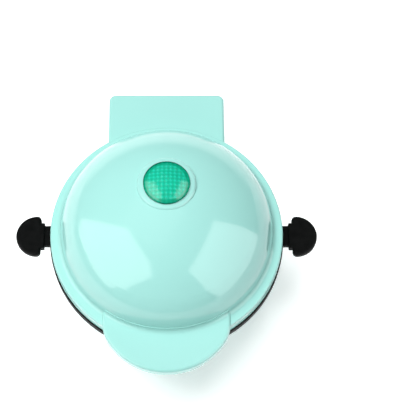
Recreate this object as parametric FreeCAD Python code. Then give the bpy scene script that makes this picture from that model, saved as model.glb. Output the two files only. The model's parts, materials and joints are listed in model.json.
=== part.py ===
"""Domed mini donut maker: a clam-shell electric appliance with a hinged lid and a fluted ring pan.

Every sub-part is one STEP file. Lengths are in millimetres. Shapes are drawn round the vertical
axis of the round body, with the table at z = 0, and moved at the end so that the origin is the
middle of the footprint. The hinge is at the back (+Y) and the handle at the front (-Y).
"""

import FreeCAD, Part
import math
import os
from FreeCAD import Vector

# ---- driving dimensions -------------------------------------------------------------------
BODY_R = 63.5            # outside of the lid's skirt
LENGTH_FRONT = 79.0      # body axis to the front of the handle
LENGTH_BACK = 84.9       # body axis to the back of the hinge cap
WALL = 2.2               # moulded wall

FOOT_H = 4.0             # table to the underside of the base
BASE_TOP_Z = 50.4        # top edge of the base housing
BASE_TOP_R = 61.4
BASE_FOOT_R = 46.5       # radius of the bowl where its bottom corner begins
BASE_FOOT_Z = 8.5
BASE_BULGE_R = 54.7      # radius of the bowl half way up, which makes its side slightly round
COLLAR_R = 64.2
COLLAR_TOP_Z = 56.4
SPLIT_GAP = 0.6          # air between collar and lid

SKIRT_Z = COLLAR_TOP_Z + SPLIT_GAP
RIM_Z = SKIRT_Z + 7.0    # flat ring round the foot of the dome
PLATE_Z = RIM_Z + 1.6    # top of the handle, which stands above the rim
CAP_Z = RIM_Z - 0.8      # top of the hinge cap, which lies just below the rim
DOME_Y = 1.2             # the dome stands a little behind the middle of the rim
DOME_R = 57.6            # the dome where its wall begins
COVE = 2.6               # hollow round at the foot of the dome
WALL_LEAN = 11.0          # degrees by which the wall leans in at its foot
SHOULDER_R = 32.0        # round shoulder between wall and crown
CROWN_R = 72.0

HANDLE_HALF_W = 33.8     # the handle has straight sides, round corners and a wide round front
HANDLE_SIDE_R = 19.0
HANDLE_TURN_Y = -52.0    # where its sides begin to turn
HANDLE_THICK = 6.4
CAP_HALF_W = 32.8        # half width of the hinge cap
CAP_CORNER_R = 4.0

AXIS_Y = 75.3            # hinge axis, along X
AXIS_Z = SKIRT_Z - 2.6
KNUCKLE_R = 6.0
PIN_R = 2.0
PIN_CLEAR = 0.08
PIN_HEAD_R = 3.4
PIN_SINK = 1.7           # depth of the seat that each pin's head lies in
ARM_OUT_X = 29.6         # the base's two hinge arms reach from ARM_IN_X to ARM_OUT_X
ARM_IN_X = 15.0

LENS_R = 12.0
LENS_Y = 11.6            # lens centre behind the dome's middle
LENS_TILT = 3.0          # degrees backwards
LENS_SKIRT = 9.0

EAR_TIP_X = 83.0
EAR_R = 11.5
EAR_THICK = 4.6
EAR_Z = COLLAR_TOP_Z - 0.1 - EAR_THICK / 2
EAR_Y = 0.8              # the ears sit a little behind the middle
NECK_HALF_W = 5.9
NECK_HALF_T = 1.3
TONGUE_HALF_W = 4.0
TONGUE_HALF_T = 1.0
SHOULDER_HALF_W = 7.4

PAN_TOP_Z = COLLAR_TOP_Z + 0.3
PAN_FLANGE_R = 60.3
PAN_FLANGE_T = 2.5
RING_R = 30.0            # middle radius of the ring-shaped mould
RING_Z = 42.5            # centre height of the mould's round bottom
RING_HALF_W = 15.0       # half width of the mould between the ribs
BIG_LOBE_R, BIG_LOBE_REACH = 9.2, 18.6
SMALL_LOBE_R, SMALL_LOBE_REACH = 5.6, 17.4
LOBE_PAIRS = 8
PAN_WALL = 2.5
HEATER_R = 30.0          # heating elements: middle radius and tube radius
TUBE_R = 3.3

PLATE_LOW_Z = SKIRT_Z + 0.3      # underside of the lid's cooking plate
PLATE_SCREW_R = 52.4
PLATE_SCREW_ANGLES = (45, 135, 225, 315)
SHIELD_Z = PLATE_LOW_Z + 3.6     # underside of the lid's heat shield flange
SHIELD_T = 0.7
SHIELD_TOP = SHIELD_Z + SHIELD_T
PLATE_SCREW_TOP = RIM_Z - 1.1
SHIELD_ROOF_Z = SHIELD_Z + 15.0
LID_HEATER_Z = PLATE_LOW_Z + 5.85 + TUBE_R
LID_CLAMP_Z = LID_HEATER_Z + TUBE_R + 0.05

LEDGE_Z = 6.2            # underside of the ledge that the bottom cover sits against
LEDGE_T = 2.2
TIE_R = 38.0             # circle of the screws that pull the pan down
TIE_ANGLES = (30, 150, 270)
TIE_PILLAR_Z = 12.0
COVER_R = 40.6
COVER_SCREW_R = 37.0
COVER_SCREW_ANGLES = (60, 120, 240, 300)
COLLAR_SHELF_T = 2.4
COLLAR_SHELF_Z = PAN_TOP_Z - PAN_FLANGE_T - COLLAR_SHELF_T
COLLAR_SCREW_R = 55.2
COLLAR_SCREW_ANGLES = (45, 135, 225, 315)
EAR_SCREW_X = 74.0
GLAND_Z = 20.5
HEEL_Y = 66.0            # back of the heel under the hinge, which holds the rear feet
FRONT_FOOT = (23.7, -23.7)
REAR_FOOT = (20.0, 56.5)
GLAND_BORE_R = 3.4
GLAND_PLATE_T = 1.6      # the plate on the heel's back that carries the gland
GLAND_Y = HEEL_Y + GLAND_PLATE_T
GLAND_WINDOW = 9.4       # half width and half height of the window behind it
GLAND_SCREW_X = 12.4
STRAP_R = 19.0           # thermostat strap: its two screws and its height
STRAP_Z = 16.6
BASE_HEATER_Z = RING_Z - BIG_LOBE_REACH - PAN_WALL - TUBE_R - 0.1

PI2 = 2 * math.pi
UP = Vector(0, 0, 1)
parts = {}


# ---- small helpers ------------------------------------------------------------------------
def path_edges(start, steps, place):
    """Edges from start through steps; a step is a point, or (middle, end) for an arc."""
    edges, here = [], place(*start)
    for step in steps:
        if isinstance(step[0], tuple):
            middle, end = place(*step[0]), place(*step[1])
            edges.append(Part.Arc(here, middle, end).toShape())
        else:
            end = place(*step)
            edges.append(Part.LineSegment(here, end).toShape())
        here = end
    return edges


def in_xz(u, v):
    return Vector(u, 0, v)


def in_xy(u, v):
    return Vector(u, v, 0)


def in_yz(u, v):
    return Vector(0, u, v)


def turned(start, *steps):
    """Solid of revolution about Z of a closed outline in the X-Z plane."""
    wire = Part.Wire(path_edges(start, list(steps) + [start], in_xz))
    return Part.Face(wire).revolve(Vector(0, 0, 0), UP, 360)


def rounded(corners, place):
    """Closed wire through corners (u, v, radius), each rounded by a tangent arc."""
    trims = []
    for i, (u, v, radius) in enumerate(corners):
        corner = Vector(u, v, 0)
        before, after = corners[i - 1], corners[(i + 1) % len(corners)]
        a = (Vector(before[0], before[1], 0) - corner).normalize()
        b = (Vector(after[0], after[1], 0) - corner).normalize()
        if radius == 0:
            trims.append((corner, None, corner))
            continue
        half = a.getAngle(b) / 2
        trim = radius / math.tan(half)
        middle = corner + (a + b).normalize() * (radius / math.sin(half) - radius)
        trims.append((corner + a * trim, middle, corner + b * trim))
    edges = []
    for i, (first, middle, last) in enumerate(trims):
        if middle is not None:
            points = [place(p.x, p.y) for p in (first, middle, last)]
            edges.append(Part.Arc(*points).toShape())
        nxt = trims[(i + 1) % len(trims)][0]
        if last.distanceToPoint(nxt) > 1e-6:
            line = Part.LineSegment(place(last.x, last.y), place(nxt.x, nxt.y))
            edges.append(line.toShape())
    return Part.Wire(edges)


def slab(corners, z_low, z_high):
    """Upright prism of a rounded outline in plan."""
    face = Part.Face(rounded(corners, in_xy))
    face.translate(Vector(0, 0, z_low))
    return face.extrude(Vector(0, 0, z_high - z_low))


def side_plate(corners, x_low, x_high):
    """Prism along X of a rounded outline (y, z, radius)."""
    face = Part.Face(rounded(corners, in_yz))
    face.translate(Vector(x_low, 0, 0))
    return face.extrude(Vector(x_high - x_low, 0, 0))


def rod(radius, low, high, x=0.0, y=0.0):
    return Part.makeCylinder(radius, high - low, Vector(x, y, low))


def rod_x(radius, x_low, x_high, y, z):
    return Part.makeCylinder(radius, x_high - x_low, Vector(x_low, y, z), Vector(1, 0, 0))


def rod_y(radius, y_low, y_high, x, z):
    return Part.makeCylinder(radius, y_high - y_low, Vector(x, y_low, z), Vector(0, 1, 0))


def box(x0, x1, y0, y1, z0, z1):
    return Part.makeBox(x1 - x0, y1 - y0, z1 - z0, Vector(x0, y0, z0))


def polar(radius, degrees):
    a = math.radians(degrees)
    return radius * math.cos(a), radius * math.sin(a)


def to_crown(radius, edge_z, top_z):
    """Step of an outline: part of a sphere from (radius, edge_z) to the axis at top_z."""
    rise = top_z - edge_z
    ball = (radius ** 2 + rise ** 2) / (2 * rise)
    return (radius / 2, top_z - ball + math.sqrt(ball ** 2 - radius ** 2 / 4)), (0, top_z)


def mirrored(shape):
    return shape.mirror(Vector(0, 0, 0), Vector(1, 0, 0))


def tube(points, radius, bends):
    """Round tube along straight runs joined by tangent arcs of the given radii."""
    edges, here = [], points[0]
    for i in range(1, len(points) - 1):
        corner = points[i]
        a = (points[i - 1] - corner).normalize()
        b = (points[i + 1] - corner).normalize()
        half = a.getAngle(b) / 2
        trim = bends[i - 1] / math.tan(half)
        mid = corner + (a + b).normalize() * (bends[i - 1] / math.sin(half) - bends[i - 1])
        start, end = corner + a * trim, corner + b * trim
        edges.append(Part.LineSegment(here, start).toShape())
        edges.append(Part.Arc(start, mid, end).toShape())
        here = end
    edges.append(Part.LineSegment(here, points[-1]).toShape())
    path = Part.Wire(edges)
    along = (points[1] - points[0]).normalize()
    circle = Part.Wire(Part.Circle(points[0], along, radius).toShape())
    return path.makePipeShell([circle], True, True)


def lead(points, radius, share=0.45):
    """Wire lead: a tube whose bends are as wide as their two runs allow."""
    bends = []
    for i in range(1, len(points) - 1):
        a, b = points[i - 1] - points[i], points[i + 1] - points[i]
        half = a.getAngle(b) / 2
        bends.append(share * min(a.Length, b.Length) * math.tan(half))
    return tube(points, radius, bends)


def pan_head_screw(x, y, under_head_z, length, shank_r=1.5, head_r=2.9, head_h=1.6, sign=1):
    """Screw with a domed head; sign 1 puts the head above its shank and -1 below it."""
    edge = head_h * 0.45
    head = turned((0, 0), (head_r, 0), (head_r, edge), to_crown(head_r, edge, head_h))
    slot = box(-head_r, head_r, -0.35, 0.35, head_h - 0.6, head_h + 1)
    cross = box(-0.35, 0.35, -head_r, head_r, head_h - 0.6, head_h + 1)
    cross_limit = rod(head_r * 0.6, head_h - 0.6, head_h + 1)
    screw = head.cut([slot.fuse(cross).common(cross_limit)])
    screw = screw.fuse(rod(shank_r, -length, 0.2)).removeSplitter()
    if sign < 0:
        screw.rotate(Vector(0, 0, 0), Vector(1, 0, 0), 180)
    screw.translate(Vector(x, y, under_head_z))
    return screw


def flush_screw(x, y, face_z, length, shank_r=1.5, head_r=3.0, sign=1):
    """Countersunk screw whose flat head ends at face_z; sign 1 drives it down, -1 up."""
    head_h = head_r - shank_r
    body = turned((0, 0), (head_r, 0), (shank_r, -head_h), (shank_r, -length), (0, -length))
    slot = box(-head_r * 0.62, head_r * 0.62, -0.4, 0.4, -0.7, 1)
    cross = box(-0.4, 0.4, -head_r * 0.62, head_r * 0.62, -0.7, 1)
    body = body.cut([slot, cross])
    if sign < 0:
        body.rotate(Vector(0, 0, 0), Vector(1, 0, 0), 180)
    body.translate(Vector(x, y, face_z))
    return body


def sunk_hole(x, y, face_z, length, shank_r=1.6, head_r=3.1, sign=1):
    """The clearance that a flush screw needs."""
    head_h = head_r - shank_r
    body = turned((0, 1), (head_r, 1), (head_r, 0), (shank_r, -head_h),
                  (shank_r, -length), (0, -length))
    if sign < 0:
        body.rotate(Vector(0, 0, 0), Vector(1, 0, 0), 180)
    body.translate(Vector(x, y, face_z))
    return body


# ---- lid ----------------------------------------------------------------------------------
def dome_steps(inset):
    """Outline of the dome from the foot of its wall to the axis, inset by a wall thickness."""
    small, large = SHOULDER_R - inset, CROWN_R - inset
    foot, join, top = math.radians(WALL_LEAN), CROWN_JOIN, math.pi / 2

    def on_shoulder(angle):
        return SHOULDER_MID_R + small * math.cos(angle), SHOULDER_MID_Z + small * math.sin(angle)

    def on_crown(angle):
        return large * math.cos(angle), CROWN_MID_Z + large * math.sin(angle)

    return [on_shoulder(foot),
            (on_shoulder((foot + join) / 2), on_shoulder(join)),
            (on_crown((join + top) / 2), (0.0, CROWN_MID_Z + large))]


def on_dome_axis(shape):
    shape.translate(Vector(0, DOME_Y, 0))
    return shape


SHOULDER_MID_R = DOME_R - SHOULDER_R * math.cos(math.radians(WALL_LEAN))
SHOULDER_MID_Z = RIM_Z + COVE - SHOULDER_R * math.sin(math.radians(WALL_LEAN))
CROWN_MID_Z = SHOULDER_MID_Z - math.sqrt((CROWN_R - SHOULDER_R) ** 2 - SHOULDER_MID_R ** 2)
CROWN_JOIN = math.atan2(SHOULDER_MID_Z - CROWN_MID_Z, SHOULDER_MID_R)
LENS_Z = CROWN_MID_Z + math.sqrt(CROWN_R ** 2 - (LENS_Y - DOME_Y) ** 2) + 0.9


def at_lens(shape):
    """Moves a shape drawn about the origin onto the lens axis."""
    shape.rotate(Vector(0, 0, 0), Vector(1, 0, 0), -LENS_TILT)
    shape.translate(Vector(0, LENS_Y, LENS_Z))
    return shape


def lens_boss():
    """Soft raised ring that the lens sits in, drawn about its own axis."""
    return at_lens(turned((0, -8), (15.8, -8), (15.5, -1.9), ((15.0, -0.8), (14.0, -0.25)),
                          (13.0, 0), (0, 0)))


def handle_plan(inset, low, high):
    """Plan of the handle drawn up from low to high; its two arcs meet without a corner."""
    x, y = HANDLE_HALF_W - HANDLE_SIDE_R, HANDLE_TURN_Y
    reach = LENGTH_FRONT - HANDLE_SIDE_R
    middle = (x ** 2 + y ** 2 - reach ** 2) / (2 * (reach + y))
    side_r, front_r = HANDLE_SIDE_R - inset, LENGTH_FRONT + middle - inset
    meet = math.atan2(x, middle - y)
    half = (meet + math.pi / 2) / 2

    def on_side(angle, sign):
        return sign * (x + side_r * math.sin(angle)), y - side_r * math.cos(angle)

    edge, end = x + side_r, -30.0
    tip = (front_r * math.sin(-meet), middle - front_r * math.cos(meet))
    steps = [(edge, y), (on_side(half, 1), on_side(meet, 1)), ((0.0, middle - front_r), tip),
             (on_side(half, -1), (-edge, y)), (-edge, end), (edge, end)]
    face = Part.Face(Part.Wire(path_edges((edge, end), steps, in_xy)))
    solid = face.extrude(Vector(0, 0, high - low))
    solid.translate(Vector(0, 0, low))
    return solid


def soft_handle():
    low = PLATE_Z - HANDLE_THICK
    plate = handle_plan(0, low, PLATE_Z)
    front = [e for e in plate.Edges if e.BoundBox.YMin < -31 and e.BoundBox.ZLength < 0.1]
    plate = plate.makeFillet(1.6, [e for e in front if e.BoundBox.ZMin > PLATE_Z - 0.1])
    front = [e for e in plate.Edges if e.BoundBox.YMin < -31 and e.BoundBox.ZMax < low + 0.1]
    return plate.makeFillet(0.8, front)


def hinge_block(inset, low, high, front_y):
    """Box of the hinge cap, rounded at its back corners."""
    w, back = CAP_HALF_W - inset, LENGTH_BACK - inset
    corner = max(CAP_CORNER_R - inset, 1.0)
    corners = [(-w, front_y, 0), (w, front_y, 0), (w, back, corner), (-w, back, corner)]
    return slab(corners, low, high)


def soft_hinge_block():
    block = hinge_block(0, SKIRT_Z, CAP_Z, 45.0)
    rim = [e for e in block.Edges
           if e.BoundBox.ZMin > CAP_Z - 0.01 and e.BoundBox.YMax > 46.0]
    return block.makeFillet(1.6, rim)


def cove_steps(low):
    """Hollow quarter-round from the flat at height low up to the foot of the dome's wall."""
    dip = COVE * (1 - math.sqrt(0.5))
    return (DOME_R + COVE, low), ((DOME_R + dip, low + dip), (DOME_R, low + COVE))


def lid_outside():
    soft, bead = 0.8, 0.2
    edge = BODY_R - bead
    rim = turned((0, SKIRT_Z), (BODY_R, SKIRT_Z), (BODY_R, SKIRT_Z + 1.5), (edge, SKIRT_Z + 1.8),
                 (edge, RIM_Z - soft), ((edge - soft * 0.293, RIM_Z - soft * 0.293),
                                        (edge - soft, RIM_Z)), (0, RIM_Z))
    dome = on_dome_axis(turned((0, RIM_Z), *cove_steps(RIM_Z), *dome_steps(0)[1:]))
    handle = soft_handle()
    block = soft_hinge_block()
    inner, top = DOME_R - 1.5, PLATE_Z + COVE
    ring = on_dome_axis(turned((inner, PLATE_Z - 0.5), (DOME_R + COVE, PLATE_Z - 0.5),
                               *cove_steps(PLATE_Z), (inner, top)))
    cheeks = hinge_cheek().fuse(mirrored(hinge_cheek()))
    cove = ring.common(handle_plan(1.6, PLATE_Z - 1, PLATE_Z + 6))
    return rim.fuse([dome, handle, block, lens_boss(), cove, cheeks])


def hinge_cheek():
    """One side wall of the hinge cap, with the round lobe that holds the hinge pin."""
    x0, x1 = CAP_HALF_W - 3.0, CAP_HALF_W
    lobe = rod_x(KNUCKLE_R + 0.6, x0, x1, AXIS_Y, AXIS_Z)
    web = side_plate([(BODY_R - 4, AXIS_Z, 0), (AXIS_Y - 4, AXIS_Z - 4, 2),
                      (AXIS_Y, AXIS_Z - 4, 0), (LENGTH_BACK - 2, SKIRT_Z, 0),
                      (LENGTH_BACK - 2, CAP_Z - 2, 0), (BODY_R - 4, CAP_Z - 2, 0)], x0, x1)
    return lobe.fuse(web)


def lid_inside():
    """The hollow of the lid, its handle and its hinge cap."""
    skirt_in = BODY_R - WALL
    rim = turned((0, SKIRT_Z - 1), (skirt_in, SKIRT_Z - 1), (skirt_in, RIM_Z - WALL),
                 (0, RIM_Z - WALL))
    inner = DOME_R - WALL
    dome = on_dome_axis(turned((0, RIM_Z - WALL - 1), (inner, RIM_Z - WALL - 1),
                               *dome_steps(WALL)))
    far = LENGTH_BACK + CAP_HALF_W
    ring = turned((BODY_R, SKIRT_Z - 8), (far, SKIRT_Z - 8), (far, PLATE_Z + 5),
                  (BODY_R, PLATE_Z + 5))
    handle = handle_plan(2.0, SKIRT_Z - 2, PLATE_Z - WALL).common(ring)
    for x in (-16.0, 0.0, 16.0):
        handle = handle.cut(box(x - 0.8, x + 0.8, -90, -50, SKIRT_Z - 3, PLATE_Z))
    block = hinge_block(3.0, SKIRT_Z - 8, CAP_Z - WALL, 50.0).common(ring)
    return [rim, dome, handle, block]


def lid_cover():
    shell = lid_outside().cut(lid_inside())
    hole = at_lens(rod(LENS_R + 0.15, -8, 3))
    seat = CAP_HALF_W - PIN_SINK
    pins = [rod_x(PIN_R, s * CAP_HALF_W - 5, s * CAP_HALF_W + 5, AXIS_Y, AXIS_Z) for s in (-1, 1)]
    pins += [rod_x(PIN_HEAD_R + 0.1, *x, AXIS_Y, AXIS_Z)
             for x in ((seat, CAP_HALF_W + 1), (-CAP_HALF_W - 1, -seat))]
    half = WALL / 2
    inside = on_dome_axis(turned((0, SHIELD_TOP), (DOME_R - half, SHIELD_TOP), *dome_steps(half)))
    inside = inside.fuse(rod(BODY_R - half, SHIELD_TOP, RIM_Z - half))
    pillars, holes = [], []
    for degrees in PLATE_SCREW_ANGLES:
        x, y = polar(PLATE_SCREW_R, degrees)
        pillars.append(rod(3.6, SHIELD_TOP, 90, x, y).common(inside))
        holes.append(rod(1.5, SHIELD_TOP - 1, PLATE_SCREW_TOP + 0.1, x, y))
    wire_slot = box(-5, 5, BODY_R - 5, BODY_R + 1, SKIRT_Z - 1, RIM_Z - 3)
    return shell.fuse(pillars).cut([hole, wire_slot] + pins + holes).removeSplitter()


def lid_plate():
    """Cast upper cooking plate: flat rim, shallow ring-shaped roof and a middle pad."""
    z, roof, t = PLATE_LOW_Z, PLATE_LOW_Z + 3.4, 2.4
    outline = [(0, z, 0), (8.5, z, 1.5), (12.0, roof, 2.5), (42.0, roof, 3.0), (47.0, z, 1.2),
               (60.0, z, 0.8), (60.0, z + t, 0.3), (47.5, z + t, 1.0), (43.5, roof + t, 1.5),
               (0, roof + t, 0)]
    plate = Part.Face(rounded(outline, in_xz)).revolve(Vector(0, 0, 0), UP, 360)
    posts, holes = [], []
    for degrees in PLATE_SCREW_ANGLES:
        x, y = polar(PLATE_SCREW_R, degrees)
        posts.append(rod(3.6, z + 1, SHIELD_Z, x, y))
        holes.append(sunk_hole(x, y, z, 12, sign=-1))
    posts.append(rod(4.5, roof + 1, LID_CLAMP_Z))
    holes.append(rod(1.5, roof + 2.6, LID_CLAMP_Z + 1))
    return plate.fuse(posts).cut(holes).removeSplitter()


def heater(z, turn, tail_up):
    """C-shaped tubular element whose two cold ends leave side by side at the back."""
    gap = 14.0
    sweep = 360 - 2 * gap
    circle = Part.Wire(Part.Circle(Vector(HEATER_R, 0, 0), Vector(0, 1, 0), TUBE_R).toShape())
    ring = Part.Face(circle).revolve(Vector(0, 0, 0), UP, sweep)
    ring.rotate(Vector(0, 0, 0), UP, gap)
    pieces = [ring]
    for degrees, side in ((gap, 1), (-gap, -1)):
        x, y = polar(HEATER_R, degrees)
        out = Vector(-math.sin(math.radians(degrees)), math.cos(math.radians(degrees)), 0) * -side
        pieces.append(Part.makeCylinder(2.3, 4.0, Vector(x, y, 0), out))
        tip = Vector(x, y, 0) + out * 3.2
        pieces.append(Part.makeCylinder(1.1, 6.5, tip, Vector(0, 0, tail_up)))
    body = pieces[0].fuse(pieces[1:]).removeSplitter()
    body.rotate(Vector(0, 0, 0), UP, turn)
    body.translate(Vector(0, 0, z))
    return body


def lid_heater_clamp():
    """Pressed strap that holds the element down on the lid plate."""
    z = LID_CLAMP_Z
    strap = slab([(-36, -6, 3), (36, -6, 3), (36, 6, 3), (-36, 6, 3)], z, z + 1.2)
    bead = box(-24, 24, -1.2, 1.2, z + 1.0, z + 2.0)
    return strap.fuse(bead).cut([rod(1.6, z - 1, z + 3)]).removeSplitter()


def lid_heat_shield():
    """Thin aluminium dish between the element and the dome."""
    z, t, top = SHIELD_Z, SHIELD_T, SHIELD_ROOF_Z
    outline = [(46.0, z, 0.8), (56.0, z, 0), (56.0, z + t, 0), (46.6, z + t, 0.5),
               (43.0, top, 4.0), (0, top, 0), (0, top - t, 0), (42.4, top - t, 3.4)]
    dish = Part.Face(rounded(outline, in_xz)).revolve(Vector(0, 0, 0), UP, 360)
    holes = [rod(1.8, z - 1, z + 2, *polar(PLATE_SCREW_R, a)) for a in PLATE_SCREW_ANGLES]
    holes += [rod(2.0, top - 3, top + 1, *polar(22.0, a)) for a in range(0, 360, 60)]
    holes.append(slab([(-12, 24, 2), (12, 24, 2), (12, 32, 2), (-12, 32, 2)], top - 3, top + 1))
    return dish.cut(holes)


def indicator_lens():
    """Domed lens with a tubular skirt that drops into the lid."""
    r, rise = LENS_R, 3.8
    cap = turned((0, rise - 1.8), (r - 1.6, -1.2), (r - 1.6, -LENS_SKIRT), (r, -LENS_SKIRT),
                 (r, 0.1), to_crown(r, 0.1, rise))
    return at_lens(cap)


def lens_retainer():
    """Push-on ring under the dome that keeps the lens in."""
    z = -7.8
    ring = turned((LENS_R + 0.05, z), (LENS_R + 3.4, z), (LENS_R + 3.4, z + 1.0),
                  (LENS_R + 0.05, z + 1.0))
    teeth = [box(LENS_R + 1.2, LENS_R + 2.6, -0.6, 0.6, z - 1, z + 2) for _ in range(6)]
    for i, tooth in enumerate(teeth):
        tooth.rotate(Vector(0, 0, 0), UP, 60 * i)
    return at_lens(ring.cut(teeth))


def lamp_holder():
    """Cup under the lens that carries the lamp."""
    r = LENS_R - 1.75
    cup = turned((0, -LENS_SKIRT - 7), (5.5, -LENS_SKIRT - 7), (5.5, -LENS_SKIRT - 1.4),
                 (r + 1.6, -LENS_SKIRT - 1.4), (r + 1.6, -LENS_SKIRT - 0.05),
                 (r - 1.0, -LENS_SKIRT - 0.05), (4.0, -LENS_SKIRT - 0.05),
                 (4.0, -LENS_SKIRT - 5.4), (0, -LENS_SKIRT - 5.4))
    holes = [rod(0.8, -LENS_SKIRT - 8, -LENS_SKIRT - 4, x, 0) for x in (-1.6, 1.6)]
    return at_lens(cup.cut(holes))


def indicator_lamp():
    """Small neon lamp: glass capsule."""
    low = -LENS_SKIRT - 5.3
    capsule = turned((0, low), (2.6, low), (2.6, low + 8.0), to_crown(2.6, low + 8.0, low + 10.6))
    return at_lens(capsule)


def lid_wiring():
    """Two sleeved leads from the lamp holder, and two from the element to the hinge."""
    low = LENS_Z - LENS_SKIRT - 7.8
    wires = []
    for side in (-1, 1):
        wires.append(lead([Vector(side * 1.6, 11.0, low), Vector(side * 1.6, 10.8, low - 2.6),
                           Vector(side * 4.0, 22.0, SHIELD_ROOF_Z + 3.6),
                           Vector(side * 4.0, 40.0, SHIELD_ROOF_Z + 2.6),
                           Vector(side * 3.4, 50.5, SHIELD_Z + 9.8),
                           Vector(side * 3.2, 53.4, SHIELD_Z + 2.4)], 1.1))
        x, y = polar(HEATER_R, 90 - side * 14.0)
        tip_x = x - side * 3.1
        wires.append(lead([Vector(tip_x, y + 0.8, LID_HEATER_Z + 7.0),
                           Vector(tip_x, y + 1.2, LID_HEATER_Z + 11.5),
                           Vector(side * 7.0, 40.0, SHIELD_ROOF_Z + 1.4), Vector(side * 6.2, 50.4, SHIELD_Z + 8.8),
                           Vector(side * 5.9, 53.4, SHIELD_Z + 1.4)], 1.1))
    return Part.makeCompound(wires)


# ---- hinge --------------------------------------------------------------------------------
def hinge_pin(side):
    """Steel pin with a sunken head, from the outside of a cheek into the base's hinge arm."""
    face = CAP_HALF_W - PIN_SINK
    shank = rod_x(PIN_R, ARM_IN_X + 1.0, face + 0.2, AXIS_Y, AXIS_Z)
    head = turned((0, 0), (PIN_HEAD_R, 0), (PIN_HEAD_R, 0.5), to_crown(PIN_HEAD_R, 0.5, 1.5))
    head.rotate(Vector(0, 0, 0), Vector(0, 1, 0), 90)
    head.translate(Vector(face, AXIS_Y, AXIS_Z))
    pin = shank.fuse(head).removeSplitter()
    return pin if side > 0 else mirrored(pin)


# ---- base ---------------------------------------------------------------------------------
def base_wall_r(z, inset=0.0):
    """Radius of the bowl's side at a height (its chord, close enough for bosses)."""
    share = (z - BASE_FOOT_Z) / (BASE_TOP_Z - BASE_FOOT_Z)
    return BASE_FOOT_R + share * (BASE_TOP_R - BASE_FOOT_R) - inset


def bowl(inset, low):
    """Solid of the bowl, inset by a wall thickness."""
    mid_z = (BASE_TOP_Z + BASE_FOOT_Z) / 2
    r0, rm, r1 = BASE_FOOT_R - inset, BASE_BULGE_R - inset, BASE_TOP_R - inset
    top = BASE_TOP_Z + (1 if inset else 0)
    start = [(0, low), (r0 - 4.4, low), ((r0 - 1.2, low + 1.2), (r0, BASE_FOOT_Z)),
             ((rm, mid_z), (r1, BASE_TOP_Z))]
    if inset:
        start.append((r1, top))
    return turned(*start, (0, top))


def heel_corners(inset):
    """Plan of the heel, with rounded corners at the back."""
    w, back, corner = ARM_OUT_X - inset, HEEL_Y - inset, 7.0 - inset
    return [(-w, 30.0, 0), (w, 30.0, 0), (w, back, corner), (-w, back, corner)]


def hinge_arm():
    """One arm of the base's hinge: it rises behind the collar to its knuckle."""
    knuckle = rod_x(KNUCKLE_R, ARM_IN_X, ARM_OUT_X, AXIS_Y, AXIS_Z)
    low = AXIS_Z - KNUCKLE_R
    web = side_plate([(46.0, 26.0, 0), (60.5, 30.0, 4), (AXIS_Y - 3.5, low + 0.4, 3),
                      (AXIS_Y, low, 0), (AXIS_Y, AXIS_Z + 1, 0), (AXIS_Y - 5.6, AXIS_Z - 1.2, 0),
                      (COLLAR_R + 0.7, AXIS_Z - 1.6, 1), (COLLAR_R + 0.7, BASE_TOP_Z - 0.2, 1.0),
                      (46.0, BASE_TOP_Z - 0.2, 0)], ARM_IN_X, ARM_OUT_X)
    return knuckle.fuse(web)


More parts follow.
